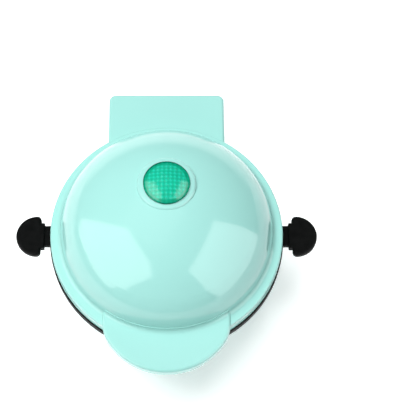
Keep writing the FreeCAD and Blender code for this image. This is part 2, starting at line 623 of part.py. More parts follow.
def base_housing():
    outside = bowl(0, FOOT_H)
    lip = slab([(-34.0, -40, 0), (34.0, -40, 0), (34.0, -65.0, 14), (-34.0, -65.0, 14)],
               BASE_TOP_Z - 6.4, BASE_TOP_Z)
    edges = [e for e in lip.Edges
             if e.BoundBox.ZMax < BASE_TOP_Z - 6.3 and e.BoundBox.YMax < -40.1]
    lip = lip.makeFillet(1.8, edges)
    arms = hinge_arm().fuse(mirrored(hinge_arm()))
    heel = slab(heel_corners(0), FOOT_H, BASE_TOP_Z - 0.2)
    solid = outside.fuse([lip, arms, heel])
    heel_hollow = slab(heel_corners(WALL), FOOT_H + 2.0, BASE_TOP_Z - 0.2 - WALL)
    foot_recess = rod(COVER_R + 0.4, FOOT_H - 1, LEDGE_Z)
    shell = solid.cut([bowl(WALL, LEDGE_Z), heel_hollow, foot_recess])
    lip_hollow = slab([(-31.8, -48, 0), (31.8, -48, 0), (31.8, -62.8, 11.8), (-31.8, -62.8, 11.8)],
                      BASE_TOP_Z - 4.2, BASE_TOP_Z + 1)
    ledge = turned((38.0, LEDGE_Z), (BASE_FOOT_R - 1.0, LEDGE_Z),
                   (BASE_FOOT_R - 1.0, LEDGE_Z + LEDGE_T), (38.0, LEDGE_Z + LEDGE_T))
    adds = [ledge]
    adds += [rod_y(2.6, HEEL_Y - 6.0, HEEL_Y - 1.0, s * GLAND_SCREW_X, GLAND_Z) for s in (-1, 1)]
    holes = [lip_hollow.cut(rod(BASE_TOP_R - 1.0, 30, 60)),
             box(-GLAND_WINDOW, GLAND_WINDOW, HEEL_Y - 5, HEEL_Y + 1, GLAND_Z - GLAND_WINDOW,
                 GLAND_Z + GLAND_WINDOW),
             box(-6.0, 6.0, HEEL_Y - 5, HEEL_Y + 1, 40.0, BASE_TOP_Z - 3.4)]
    holes += [rod_y(1.15, HEEL_Y - 5.4, HEEL_Y + 1, s * GLAND_SCREW_X, GLAND_Z) for s in (-1, 1)]
    for degrees in TIE_ANGLES:
        x, y = polar(TIE_R, degrees)
        adds.append(rod(4.4, LEDGE_Z, TIE_PILLAR_Z, x, y))
        arm = box(0, 6, -4.4, 4.4, LEDGE_Z, LEDGE_Z + LEDGE_T)
        arm.translate(Vector(TIE_R, 0, 0))
        arm.rotate(Vector(0, 0, 0), UP, degrees)
        adds.append(arm)
        holes += [rod(1.7, LEDGE_Z - 1, TIE_PILLAR_Z + 1, x, y),
                  rod(3.2, LEDGE_Z - 1, LEDGE_Z + 2.0, x, y)]
    for degrees in COVER_SCREW_ANGLES:
        x, y = polar(COVER_SCREW_R, degrees)
        adds.append(rod(3.4, LEDGE_Z, LEDGE_Z + 5.0, x, y))
        holes.append(rod(1.45, LEDGE_Z - 1, LEDGE_Z + 4.4, x, y))
    for degrees in COLLAR_SCREW_ANGLES:
        x, y = polar(COLLAR_SCREW_R, degrees)
        pillar = rod(3.6, 30.0, COLLAR_SHELF_Z, x, y)
        keep = turned((0, 20), (base_wall_r(20) - 0.5, 20), (BASE_TOP_R - 0.5, BASE_TOP_Z),
                      (BASE_TOP_R - 0.5, COLLAR_SHELF_Z + 1), (0, COLLAR_SHELF_Z + 1))
        adds.append(pillar.common(keep))
        holes.append(rod(1.45, 36.0, COLLAR_SHELF_Z + 1, x, y))
    for side in (-1, 1):
        holes.append(rod(2.5, FOOT_H - 1, FOOT_H + 3, side * REAR_FOOT[0], REAR_FOOT[1]))
        start = ARM_IN_X - 1 if side > 0 else -ARM_OUT_X - 1
        holes.append(rod_x(PIN_R + PIN_CLEAR, start, start + ARM_OUT_X - ARM_IN_X + 2,
                           AXIS_Y, AXIS_Z))
    return shell.fuse(adds).cut(holes).removeSplitter()


def base_collar():
    """Heat-proof ring between the housing and the lid, with a lug for each ear grip."""
    z, top = BASE_TOP_Z, COLLAR_TOP_Z
    shelf, shelf_t = COLLAR_SHELF_Z, COLLAR_SHELF_T
    inner = COLLAR_R - 2.4
    outline = [(BASE_TOP_R - WALL - 0.4, z, 0), (COLLAR_R, z, 0.6), (COLLAR_R, top, 0.7),
               (inner, top, 0.3), (inner, shelf + shelf_t, 0.5), (52.6, shelf + shelf_t, 0.4),
               (52.6, shelf, 0), (BASE_TOP_R - WALL - 2.6, shelf, 0),
               (BASE_TOP_R - WALL - 2.6, z - 3.0, 0), (BASE_TOP_R - WALL - 2.0, z - 3.0, 0)]
    ring = Part.Face(rounded(outline, in_xz)).revolve(Vector(0, 0, 0), UP, 360)
    adds = []
    for side in (-1, 1):
        neck = box(60.5, 69.6, -NECK_HALF_W, NECK_HALF_W, EAR_Z - NECK_HALF_T, EAR_Z + NECK_HALF_T)
        tongue = box(69.0, 78.0, -TONGUE_HALF_W, TONGUE_HALF_W, EAR_Z - TONGUE_HALF_T,
                     EAR_Z + TONGUE_HALF_T)
        lug = neck.fuse(tongue)
        lug.translate(Vector(0, EAR_Y, 0))
        adds.append(lug if side > 0 else mirrored(lug))
    holes = [rod(1.6, EAR_Z - 4, EAR_Z + 4, side * EAR_SCREW_X, EAR_Y) for side in (-1, 1)]
    for degrees in COLLAR_SCREW_ANGLES:
        x, y = polar(COLLAR_SCREW_R, degrees)
        holes.append(sunk_hole(x, y, shelf + shelf_t, 8))
        holes.append(rod(3.9, z - 4, shelf, x, y))
    return ring.fuse(adds).cut(holes).removeSplitter()


def ear_grip(side):
    """D-shaped heat-proof grip that slips over a lug of the collar."""
    low, high = EAR_Z - EAR_THICK / 2, EAR_Z + EAR_THICK / 2
    centre, flat = EAR_TIP_X - EAR_R, EAR_TIP_X - 13.7
    half = math.sqrt(EAR_R ** 2 - (flat - centre) ** 2)
    edges = path_edges((flat, -half), [((EAR_TIP_X, 0), (flat, half)), (flat, -half)], in_xy)
    face = Part.Face(Part.Wire(edges))
    face.translate(Vector(0, 0, low))
    disc = face.extrude(Vector(0, 0, high - low))
    uprights = [e for e in disc.Edges if e.BoundBox.ZLength > 1 and e.BoundBox.XLength < 0.01
                and e.BoundBox.YLength < 0.01 and e.BoundBox.XMax < flat + 0.1]
    disc = disc.makeFillet(2.4, uprights)
    rims = [e for e in disc.Edges if e.BoundBox.ZLength < 0.01]
    disc = disc.makeFillet(1.3, rims)
    collar = box(67.3, flat + 4, -SHOULDER_HALF_W, SHOULDER_HALF_W, low, high)
    soft = [e for e in collar.Edges if e.BoundBox.XMax < 67.4 or e.BoundBox.XLength > 1]
    collar = collar.makeFillet(0.6, soft)
    grip = disc.fuse(collar)
    pocket = box(67.0, 69.8, -NECK_HALF_W - 0.1, NECK_HALF_W + 0.1,
                 EAR_Z - NECK_HALF_T - 0.1, EAR_Z + NECK_HALF_T + 0.1)
    slot = box(69.0, 78.2, -TONGUE_HALF_W - 0.1, TONGUE_HALF_W + 0.1,
               EAR_Z - TONGUE_HALF_T - 0.1, EAR_Z + TONGUE_HALF_T + 0.1)
    screw = sunk_hole(EAR_SCREW_X, 0, low, 3.8, head_r=2.5, sign=-1)
    grip = grip.cut([pocket, slot, screw]).removeSplitter()
    grip.translate(Vector(0, EAR_Y, 0))
    return grip if side > 0 else mirrored(grip)


def ear_screws():
    low = EAR_Z - EAR_THICK / 2
    return Part.makeCompound([flush_screw(side * EAR_SCREW_X, EAR_Y, low + 0.1, 3.4, head_r=2.4,
                                          sign=-1) for side in (-1, 1)])


def lobe(tube_r, reach, degrees):
    """One flute of the mould: a half ring round its bottom and a straight part above."""
    spine = reach - tube_r
    bottom = Part.makeTorus(spine, tube_r, Vector(RING_R, 0, RING_Z), Vector(0, 1, 0))
    lower = box(0, 2 * RING_R + 10, -tube_r - 1, tube_r + 1, RING_Z - reach - 1, RING_Z)
    bottom = bottom.common(lower)
    side = Part.makeCone(tube_r, tube_r + 0.35, PAN_TOP_Z + 1 - RING_Z,
                         Vector(RING_R + spine, 0, RING_Z))
    shape = bottom.fuse(side)
    shape.rotate(Vector(0, 0, 0), UP, degrees)
    return shape


def mould():
    """The ring-shaped cavity: a plain channel widened by big and small flutes in turn."""
    top = PAN_TOP_Z + 1
    inner, outer = RING_R - RING_HALF_W, RING_R + RING_HALF_W
    tip_z, edge_z = PAN_TOP_Z - 2.6, PAN_TOP_Z - 7.0
    tip_mid = to_crown(8.6, edge_z, tip_z)[0]
    channel = turned((inner, RING_Z), ((RING_R, RING_Z - RING_HALF_W), (outer, RING_Z)),
                     (outer + 0.6, top), (0, top), (0, tip_z), (tip_mid, (8.6, edge_z)))
    step = 360.0 / LOBE_PAIRS
    lobes = []
    for i in range(LOBE_PAIRS):
        lobes.append(lobe(BIG_LOBE_R, BIG_LOBE_REACH, i * step))
        lobes.append(lobe(SMALL_LOBE_R, SMALL_LOBE_REACH, (i + 0.5) * step))
    return [channel] + lobes


def baking_pan():
    """Cast lower pan: a flat flange round a fluted ring mould with a middle cone."""
    top, under = PAN_TOP_Z, PAN_TOP_Z - PAN_FLANGE_T
    reach = BIG_LOBE_REACH + PAN_WALL
    outer, throat = RING_R + reach, RING_R - reach
    slant = reach * math.sqrt(0.5)
    low, side_in, side_out = RING_Z - reach, RING_R - slant, RING_R + slant
    blank = turned((0, top), (0, top - 8.6), (4.2, top - 9.8), (throat, RING_Z),
                   ((side_in, RING_Z - slant), (RING_R, low)),
                   ((side_out, RING_Z - slant), (outer, RING_Z)),
                   (outer + 0.6, under), (PAN_FLANGE_R, under), (PAN_FLANGE_R, top))
    posts, holes = [], []
    for degrees in TIE_ANGLES:
        x, y = polar(TIE_R, degrees)
        posts.append(rod(3.8, TIE_PILLAR_Z + SHIELD_T, RING_Z - 18.0, x, y))
        holes.append(rod(1.4, TIE_PILLAR_Z, TIE_PILLAR_Z + 5.5, x, y))
    for side in (-1, 1):
        posts.append(rod(3.0, STRAP_Z + 1.0, RING_Z - 17.0, side * STRAP_R, 0))
        holes.append(rod(1.2, STRAP_Z, STRAP_Z + 4.5, side * STRAP_R, 0))
    return blank.cut(mould()).fuse(posts).cut(holes).removeSplitter()


def base_heat_shield():
    """Thin dish under the lower element."""
    z, t = TIE_PILLAR_Z, SHIELD_T
    outline = [(12.5, z, 0), (43.6, z, 1.4), (46.4, z + 9, 0), (45.7, z + 9, 0),
               (43.1, z + t, 0.8), (12.5, z + t, 0)]
    dish = Part.Face(rounded(outline, in_xz)).revolve(Vector(0, 0, 0), UP, 360)
    holes = [rod(1.8, z - 1, z + 2, *polar(TIE_R, a)) for a in TIE_ANGLES]
    holes += [rod(2.4, z - 1, z + 2, *polar(HEATER_R, 90 + a)) for a in (-8, 8)]
    holes.append(box(-7.5, 7.5, 35.0, 50.0, z - 1, z + 10))
    return dish.cut(holes)


def thermostat():
    """Snap-disc thermostat: a phenolic body under a metal cap, with two blades."""
    z = STRAP_Z
    body = rod(7.6, z - 6.4, z - 1.6)
    cap = turned((0, z - 1.6), (8.2, z - 1.6), (8.2, z - 0.4), (7.6, z - 0.05), (0, z - 0.05))
    blades = [box(s * 4.6 - 0.4, s * 4.6 + 0.4, -3.1, 3.1, z - 10.4, z - 6.4) for s in (-1, 1)]
    return body.fuse([cap] + blades).removeSplitter()


def thermostat_strap():
    z = STRAP_Z
    strap = slab([(-23.0, -5, 3), (23.0, -5, 3), (23.0, 5, 3), (-23.0, 5, 3)], z, z + 0.95)
    dish = rod(9.5, z, z + 0.95)
    holes = [rod(1.6, z - 1, z + 2, s * STRAP_R, 0) for s in (-1, 1)]
    return strap.fuse(dish).cut(holes).removeSplitter()


def bottom_cover():
    """Flat cover with ribs of slots that lets the base breathe."""
    z, t = FOOT_H, 2.0
    disc = turned((0, z), (COVER_R, z), (COVER_R, z + t), (0, z + t))
    holes = []
    for i in range(-3, 4):
        half = 17.0 - abs(i) * 2.0
        holes.append(slab([(i * 5.0 - 1, -half, 1), (i * 5.0 + 1, -half, 1),
                           (i * 5.0 + 1, half, 1), (i * 5.0 - 1, half, 1)], z - 1, z + t + 1))
    for degrees in COVER_SCREW_ANGLES:
        x, y = polar(COVER_SCREW_R, degrees)
        holes += [rod(1.7, z - 1, z + t + 1, x, y), rod(3.1, z - 1, z + 0.9, x, y)]
    for side in (-1, 1):
        holes.append(rod(2.5, z - 1, z + t + 1, side * FRONT_FOOT[0], FRONT_FOOT[1]))
    return disc.cut(holes)


def rubber_foot(x, y):
    """Push-in rubber foot with a mushroom head above the floor."""
    top = FOOT_H + 2.0
    foot = turned((0, 0), (4.6, 0), ((5.2, 0.25), (5.5, 0.9)), (6.0, FOOT_H), (2.3, FOOT_H),
                  (2.3, top), (3.2, top + 0.1), (2.0, top + 1.9), (0, top + 1.9))
    foot.translate(Vector(x, y, 0))
    return foot


def gland_plate():
    """Screwed plate that closes the window in the heel and carries the gland in its boss."""
    w, h, t = GLAND_SCREW_X + 3.6, GLAND_WINDOW + 1.8, GLAND_PLATE_T
    plate = slab([(-w, -h, 3), (w, -h, 3), (w, h, 3), (-w, h, 3)], 0, t)
    rim = [e for e in plate.Edges if e.BoundBox.ZMin > t - 0.01]
    plate = plate.makeFillet(0.5, rim)
    plate.rotate(Vector(0, 0, 0), Vector(1, 0, 0), -90)
    plate.translate(Vector(0, HEEL_Y, GLAND_Z))
    boss = rod_y(9.0, HEEL_Y - 9.0, HEEL_Y + 0.2, 0, GLAND_Z)
    holes = [rod_y(6.05, HEEL_Y - 10, GLAND_Y + 1, 0, GLAND_Z)]
    for s in (-1, 1):
        holes.append(at_gland_screw(sunk_hole(0, 0, 0, 5, shank_r=1.3, head_r=2.3), s))
    return plate.fuse(boss).cut(holes).removeSplitter()


def at_gland_screw(shape, side):
    """Turns a screw or its hole, drawn under z = 0, to face backwards at the gland plate."""
    shape.rotate(Vector(0, 0, 0), Vector(1, 0, 0), -90)
    shape.translate(Vector(side * GLAND_SCREW_X, GLAND_Y, GLAND_Z))
    return shape


def gland_screws():
    return Part.makeCompound([
        at_gland_screw(flush_screw(0, 0, -0.1, 5.8, shank_r=1.1, head_r=2.2), s) for s in (-1, 1)])


def cord_gland():
    """Rubber bush in the back of the base, where a mains lead would come in."""
    y0, y1 = HEEL_Y - 9.0, GLAND_Y + 1.6
    bush = turned((GLAND_BORE_R, y0), (6.0, y0), (6.0, GLAND_Y), (8.0, GLAND_Y),
                  (8.0, y1 - 0.6), (7.4, y1), (GLAND_BORE_R, y1))
    bush.rotate(Vector(0, 0, 0), Vector(1, 0, 0), -90)
    bush.translate(Vector(0, 0, GLAND_Z))
    return bush


def terminal_block():
    """Two-way ceramic connector under the lower heat shield."""
    z0, z1 = FOOT_H + 2.1, TIE_PILLAR_Z - 0.3
    block = box(-11, 11, 17, 28, z0, z1)
    wells = [rod(1.8, z1 - 2.2, z1 + 1, x, y) for x in (-5.5, 5.5) for y in (19.6, 25.4)]
    groove = box(-0.8, 0.8, 16, 29, z1 - 2.0, z1 + 1)
    return block.cut(wells + [groove])


def thermal_fuse():
    """Sleeved one-shot fuse that lies under the lower heat shield."""
    z, y = FOOT_H + 2.2 + 2.3, -22.0
    sleeve = rod_x(2.3, -11, 11, y, z)
    ends = [rod_x(0.7, -16, -11, y, z), rod_x(0.7, 11, 16, y, z)]
    return sleeve.fuse(ends).removeSplitter()


def base_wiring():
    """Sleeved leads between gland, terminals, thermostat, fuse and the hinge."""
    z = FOOT_H + 2.0 + 1.4
    wires = []
    for side in (-1, 1):
        wires.append(lead([Vector(side * 1.4, HEEL_Y - 10.0, GLAND_Z),
                           Vector(side * 1.5, 46.6, GLAND_Z - 0.6),
                           Vector(side * 2.6, 42.0, 13.4), Vector(side * 5.2, 35.0, z + 1.4),
                           Vector(side * 5.5, 28.1, z + 0.6)], 1.15))
        wires.append(lead([Vector(side * 5.5, 16.9, z), Vector(side * 7.0, 11.0, z),
                           Vector(side * 14.0, 2.0, z), Vector(side * 19.5, -8.0, z),
                           Vector(side * 21.0, -17.0, z + 0.4), Vector(side * 16.1, -22.0, z + 1.1)],
                          1.0))
    return Part.makeCompound(wires)


def cover_screws():
    z = FOOT_H + 0.9
    return Part.makeCompound([
        pan_head_screw(*polar(COVER_SCREW_R, a), z, 5.5, shank_r=1.4, head_r=2.8, head_h=0.85,
                       sign=-1) for a in COVER_SCREW_ANGLES])


def pan_screws():
    z = LEDGE_Z + 2.0
    return Part.makeCompound([
        pan_head_screw(*polar(TIE_R, a), z, 9.2, shank_r=1.4, head_r=2.9, sign=-1)
        for a in TIE_ANGLES])


def collar_screws():
    z = COLLAR_SHELF_Z + COLLAR_SHELF_T - 0.1
    return Part.makeCompound([
        flush_screw(*polar(COLLAR_SCREW_R, a), z, 14.0, shank_r=1.4) for a in COLLAR_SCREW_ANGLES])


def lid_plate_screws():
    return Part.makeCompound([
        flush_screw(*polar(PLATE_SCREW_R, a), PLATE_LOW_Z + 0.1,
                    PLATE_SCREW_TOP - PLATE_LOW_Z - 0.1, shank_r=1.4, sign=-1)
        for a in PLATE_SCREW_ANGLES])


def lid_clamp_screw():
    return pan_head_screw(0, 0, LID_CLAMP_Z + 2.05, 5.5, shank_r=1.4)


def strap_screws():
    return Part.makeCompound([
        pan_head_screw(s * STRAP_R, 0, STRAP_Z, 3.6, shank_r=1.1, head_r=2.2, head_h=1.2, sign=-1)
        for s in (-1, 1)])


# ---- build and write ----------------------------------------------------------------------
def build():
    parts["lid_cover"] = lid_cover()
    parts["indicator_lens"] = indicator_lens()
    parts["lens_retainer"] = lens_retainer()
    parts["lamp_holder"] = lamp_holder()
    parts["indicator_lamp"] = indicator_lamp()
    parts["lid_heat_shield"] = lid_heat_shield()
    parts["lid_heater"] = heater(LID_HEATER_Z, 90, 1)
    parts["lid_heater_clamp"] = lid_heater_clamp()
    parts["lid_clamp_screw"] = lid_clamp_screw()
    parts["lid_plate"] = lid_plate()
    parts["lid_plate_screws"] = lid_plate_screws()
    parts["lid_wiring"] = lid_wiring()
    parts["left_hinge_pin"] = hinge_pin(-1)
    parts["right_hinge_pin"] = hinge_pin(1)
    parts["base_housing"] = base_housing()
    parts["base_collar"] = base_collar()
    parts["left_ear_grip"] = ear_grip(-1)
    parts["right_ear_grip"] = ear_grip(1)
    parts["ear_screws"] = ear_screws()
    parts["collar_screws"] = collar_screws()
    parts["baking_pan"] = baking_pan()
    parts["pan_screws"] = pan_screws()
    parts["base_heater"] = heater(BASE_HEATER_Z, 90, -1)
    parts["base_heat_shield"] = base_heat_shield()
    parts["thermostat"] = thermostat()
    parts["thermostat_strap"] = thermostat_strap()
    parts["strap_screws"] = strap_screws()
    parts["thermal_fuse"] = thermal_fuse()
    parts["terminal_block"] = terminal_block()
    parts["base_wiring"] = base_wiring()
    parts["gland_plate"] = gland_plate()
    parts["gland_screws"] = gland_screws()
    parts["cord_gland"] = cord_gland()
    parts["bottom_cover"] = bottom_cover()
    parts["cover_screws"] = cover_screws()
    for name, side in (("right", 1), ("left", -1)):
        parts[name + "_rear_foot"] = rubber_foot(side * REAR_FOOT[0], REAR_FOOT[1])
        parts[name + "_front_foot"] = rubber_foot(side * FRONT_FOOT[0], FRONT_FOOT[1])


def write():
    os.makedirs("parts", exist_ok=True)
    shift = Vector(0, -(LENGTH_BACK - LENGTH_FRONT) / 2, 0)
    for name, shape in parts.items():
        shape.translate(shift)
        solids = shape.Solids
        whole = solids[0] if len(solids) == 1 else Part.makeCompound(solids)
        good = all(s.isValid() and s.Volume > 0 for s in solids)
        print(f"{name:20s} solids {len(solids)} volume {whole.Volume:10.1f} {'ok' if good else 'BAD'}")
        whole.exportStep(f"parts/{name}.step")


build()
write()
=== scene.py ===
import json
import math

import bpy
from mathutils import Matrix, Vector


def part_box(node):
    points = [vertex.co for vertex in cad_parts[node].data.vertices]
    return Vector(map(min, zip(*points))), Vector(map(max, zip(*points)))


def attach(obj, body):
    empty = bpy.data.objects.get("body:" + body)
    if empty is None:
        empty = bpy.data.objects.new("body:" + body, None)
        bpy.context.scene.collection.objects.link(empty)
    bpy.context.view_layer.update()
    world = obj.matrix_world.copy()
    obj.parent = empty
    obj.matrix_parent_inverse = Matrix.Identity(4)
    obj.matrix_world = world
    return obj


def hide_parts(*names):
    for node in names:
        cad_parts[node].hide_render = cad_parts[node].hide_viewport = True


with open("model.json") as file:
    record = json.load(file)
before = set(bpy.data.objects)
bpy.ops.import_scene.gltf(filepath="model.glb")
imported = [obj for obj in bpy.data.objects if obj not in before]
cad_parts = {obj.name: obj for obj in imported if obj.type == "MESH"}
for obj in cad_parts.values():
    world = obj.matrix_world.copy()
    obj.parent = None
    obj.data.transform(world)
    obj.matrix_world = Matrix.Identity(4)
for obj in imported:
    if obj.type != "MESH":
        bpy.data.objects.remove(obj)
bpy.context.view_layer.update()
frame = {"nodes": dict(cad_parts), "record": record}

# Lengths are in metres, in the CAD's frame: +Z up, the handle towards -Y.
nodes = frame["nodes"]
scene = bpy.context.scene
scene.view_settings.view_transform = "Standard"

CAMERA_ELEVATION = math.radians(68.13)
CAMERA_DISTANCE = 0.600
CAMERA_LENS = 95.43      # focal length, mm
RIM_Z = 0.064            # height of the lid's rim, which the camera looks at
LIGHT_AIM = Vector((0, 0, 0.06))
PANEL_REACH = 1.2        # from there to the corners of the soft boxes

DIMPLE = 0.00222         # pitch of the dimples in the lens
DIMPLE_R = 0.0102        # they stop here, inside a smooth border
DIMPLE_DEPTH = 0.00034
BORDER_FADE = 0.0004     # width over which the dimples run out
CROWN_RISE = 0.0037      # height of the lens's crown over its edge
CROWN_SHIFT = Vector((0, 0.00012, -0.00004))    # the tilt puts the crown's top off the box's
LENS_TILT = math.radians(-3.0)
LENS_GAP_CUT = 0.00013   # leaves a finer gap to its ring than the part's own
SKIN_LEAN = 0.0036       # the clear skin is round about a point this far back
SKIN_DEPTH = 0.0208      # and this far below the top of the crown


def add(name, data):
    """New object of the scene with this data."""
    made = bpy.data.objects.new(name, data)
    scene.collection.objects.link(made)
    return made


# ---- camera -----------------------------------------------------------------------------
def make_camera():
    """Looks down at the lid from the handle's side."""
    low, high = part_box("baking_pan")
    target = Vector((0, (low.y + high.y) / 2, RIM_Z))
    back = Vector((0, -math.cos(CAMERA_ELEVATION), math.sin(CAMERA_ELEVATION)))
    data = bpy.data.cameras.new("camera")
    data.lens, data.sensor_width = CAMERA_LENS, 36.0
    data.shift_x, data.shift_y = 0.0996, 0.0561
    data.clip_start, data.clip_end = 0.01, 20.0
    camera = add("camera", data)
    camera.location = target + back * CAMERA_DISTANCE
    camera.rotation_mode = "QUATERNION"
    camera.rotation_quaternion = (-back).to_track_quat("-Z", "Y")
    scene.camera = camera


# ---- materials --------------------------------------------------------------------------
def linear(*srgb):
    """Linear colour from 0-255 values."""
    out = []
    for v in srgb:
        c = v / 255
        out.append(c / 12.92 if c <= 0.04045 else ((c + 0.055) / 1.055) ** 2.4)
    return (*out, 1.0)


class Surface:
    """A principled material whose colour, roughness and relief come from noise."""

    def __init__(self, name):
        self.material = bpy.data.materials.new(name)
        self.material.use_nodes = True
        self.tree = self.material.node_tree
        self.shader = self.tree.nodes["Principled BSDF"]
        self.place = self.tree.nodes.new("ShaderNodeTexCoord").outputs["Object"]

    def node(self, kind, **inputs):
        made = self.tree.nodes.new("ShaderNode" + kind)
        for key, value in inputs.items():
            made.inputs[key.replace("_", " ")].default_value = value
        return made

    def link(self, a, b):
        self.tree.links.new(a, b)

    def noise(self, scale, detail, stretch=(1, 1, 1)):
        """Value of a noise, its scale per metre."""
        mapping = self.node("Mapping")
        mapping.inputs["Scale"].default_value = stretch
        self.link(self.place, mapping.inputs["Vector"])
        made = self.node("TexNoise", Scale=scale, Detail=detail)
        self.link(mapping.outputs["Vector"], made.inputs["Vector"])
        return made.outputs["Fac"]

    def spread(self, source, low, high, at=(0.3, 0.7)):
        """Value from low to high as the source runs over the range."""
        ranged = self.node("MapRange")
        for key, value in zip(("From Min", "From Max", "To Min", "To Max"), (*at, low, high)):
            ranged.inputs[key].default_value = value
        self.link(source, ranged.inputs["Value"])
        return ranged.outputs["Result"]

    def compute(self, operation, *values):
        """Result of a sum on numbers and sockets."""
        made = self.node("Math")
        made.operation = operation
        for socket, value in zip(made.inputs, values):
            if isinstance(value, (int, float)):
                socket.default_value = value
            else:
                self.link(value, socket)
        return made.outputs[0]

    def colour(self, source, first, second, at=(0.3, 0.7)):
        """Base colour from first to second as the source runs over the range."""
        ramp = self.node("ValToRGB")
        start, end = ramp.color_ramp.elements
        start.position, end.position = at
        start.color, end.color = first, second
        self.link(source, ramp.inputs["Fac"])
        self.link(ramp.outputs["Color"], self.shader.inputs["Base Color"])

    def rough(self, source, low, high, at=(0.3, 0.7)):
        """Roughness from low to high as the source runs over the range."""
        self.link(self.spread(source, low, high, at), self.shader.inputs["Roughness"])

    def relief(self, source, depth, strength):
        """Fine relief, depth in metres."""
        bump = self.node("Bump", Strength=strength, Distance=depth)
        self.link(source, bump.inputs["Height"])
        self.link(bump.outputs["Normal"], self.shader.inputs["Normal"])

    def uniform(self, **values):
        """Shader values that are the same all over."""
        for key, value in values.items():
            self.shader.inputs[key.replace("_", " ")].default_value = value
        return self


def mint_plastic():
    s = Surface("mint_plastic")
    s.colour(s.noise(9.0, 3.0), linear(152, 209, 202), linear(155, 211, 204))
    s.rough(s.noise(60.0, 4.0), 0.10, 0.13)
    s.relief(s.noise(260.0, 2.0), 0.00001, 0.25)
    return s.uniform(IOR=1.47, Coat_Weight=0.15, Coat_Roughness=0.04).material


def black_plastic(name, grain):
    """Moulded black plastic with a fine spark-eroded grain."""
    s = Surface(name)
    s.colour(s.noise(300.0, 3.0), linear(5, 6, 6), linear(12, 13, 13))
    s.rough(s.noise(grain, 5.0), 0.5, 0.68)
    s.relief(s.noise(grain * 1.6, 3.0), 0.00005, 0.6)
    return s.uniform(Specular_IOR_Level=0.12).material


def metal(name, tint, rough, stretch=(1, 1, 1), scale=220.0):
    """Bare metal; a stretch gives it drawn or brushed lines."""
    s = Surface(name)
    dark = [v * 0.86 for v in tint]
    s.colour(s.noise(scale, 4.0, stretch), (*dark, 1.0), (*tint, 1.0))
    s.rough(s.noise(scale * 1.3, 4.0, stretch), rough - 0.06, rough + 0.06)
    s.relief(s.noise(scale * 2.0, 2.0, stretch), 0.00002, 0.5)
    return s.uniform(Metallic=1.0).material


def non_stick():
    """Dark coating with a faint metallic fleck over cast aluminium."""
    s = Surface("non_stick")
    s.colour(s.noise(1800.0, 2.0), linear(38, 38, 40), linear(62, 62, 64), (0.45, 0.72))
    s.rough(s.noise(500.0, 4.0), 0.34, 0.48)
    s.relief(s.noise(900.0, 3.0), 0.00003, 0.5)
    return s.uniform(Metallic=0.25, Specular_IOR_Level=0.55).material


def rubber(name, shade):
    s = Surface(name)
    s.colour(s.noise(120.0, 3.0), linear(shade, shade, shade), linear(shade + 9, shade + 9, shade + 8))
    s.rough(s.noise(400.0, 4.0), 0.62, 0.82)
    s.relief(s.noise(700.0, 3.0), 0.00004, 0.5)
    return s.material


def ceramic():
    s = Surface("white_ceramic")
    s.colour(s.noise(260.0, 4.0), linear(214, 208, 194), linear(232, 228, 217))
    s.rough(s.noise(320.0, 3.0), 0.5, 0.68)
    s.relief(s.noise(800.0, 3.0), 0.00004, 0.5)
    return s.material


def sleeving():
    """Braided glass-fibre sleeve: two crossed waves."""
    s = Surface("sleeving")
    waves = []
    for turn in (0.7, -0.7):
        mapping = s.node("Mapping")
        mapping.inputs["Rotation"].default_value = (turn, turn, turn)
        s.link(s.place, mapping.inputs["Vector"])
        wave = s.node("TexWave", Scale=420.0, Distortion=0.4)
        s.link(mapping.outputs["Vector"], wave.inputs["Vector"])
        waves.append(wave.outputs["Fac"])
    braid = s.compute("MULTIPLY", *waves)
    s.colour(braid, linear(188, 182, 164), linear(228, 224, 210), (0.0, 0.7))
    s.rough(braid, 0.8, 0.65, (0.0, 1.0))
    s.relief(braid, 0.00015, 0.8)
    return s.material


def lamp_glass():
    s = Surface("lamp_glass")
    s.colour(s.noise(160.0, 2.0), linear(240, 170, 130), linear(250, 205, 175))
    s.rough(s.noise(200.0, 2.0), 0.03, 0.08)
    return s.uniform(Transmission_Weight=0.8, IOR=1.5).material


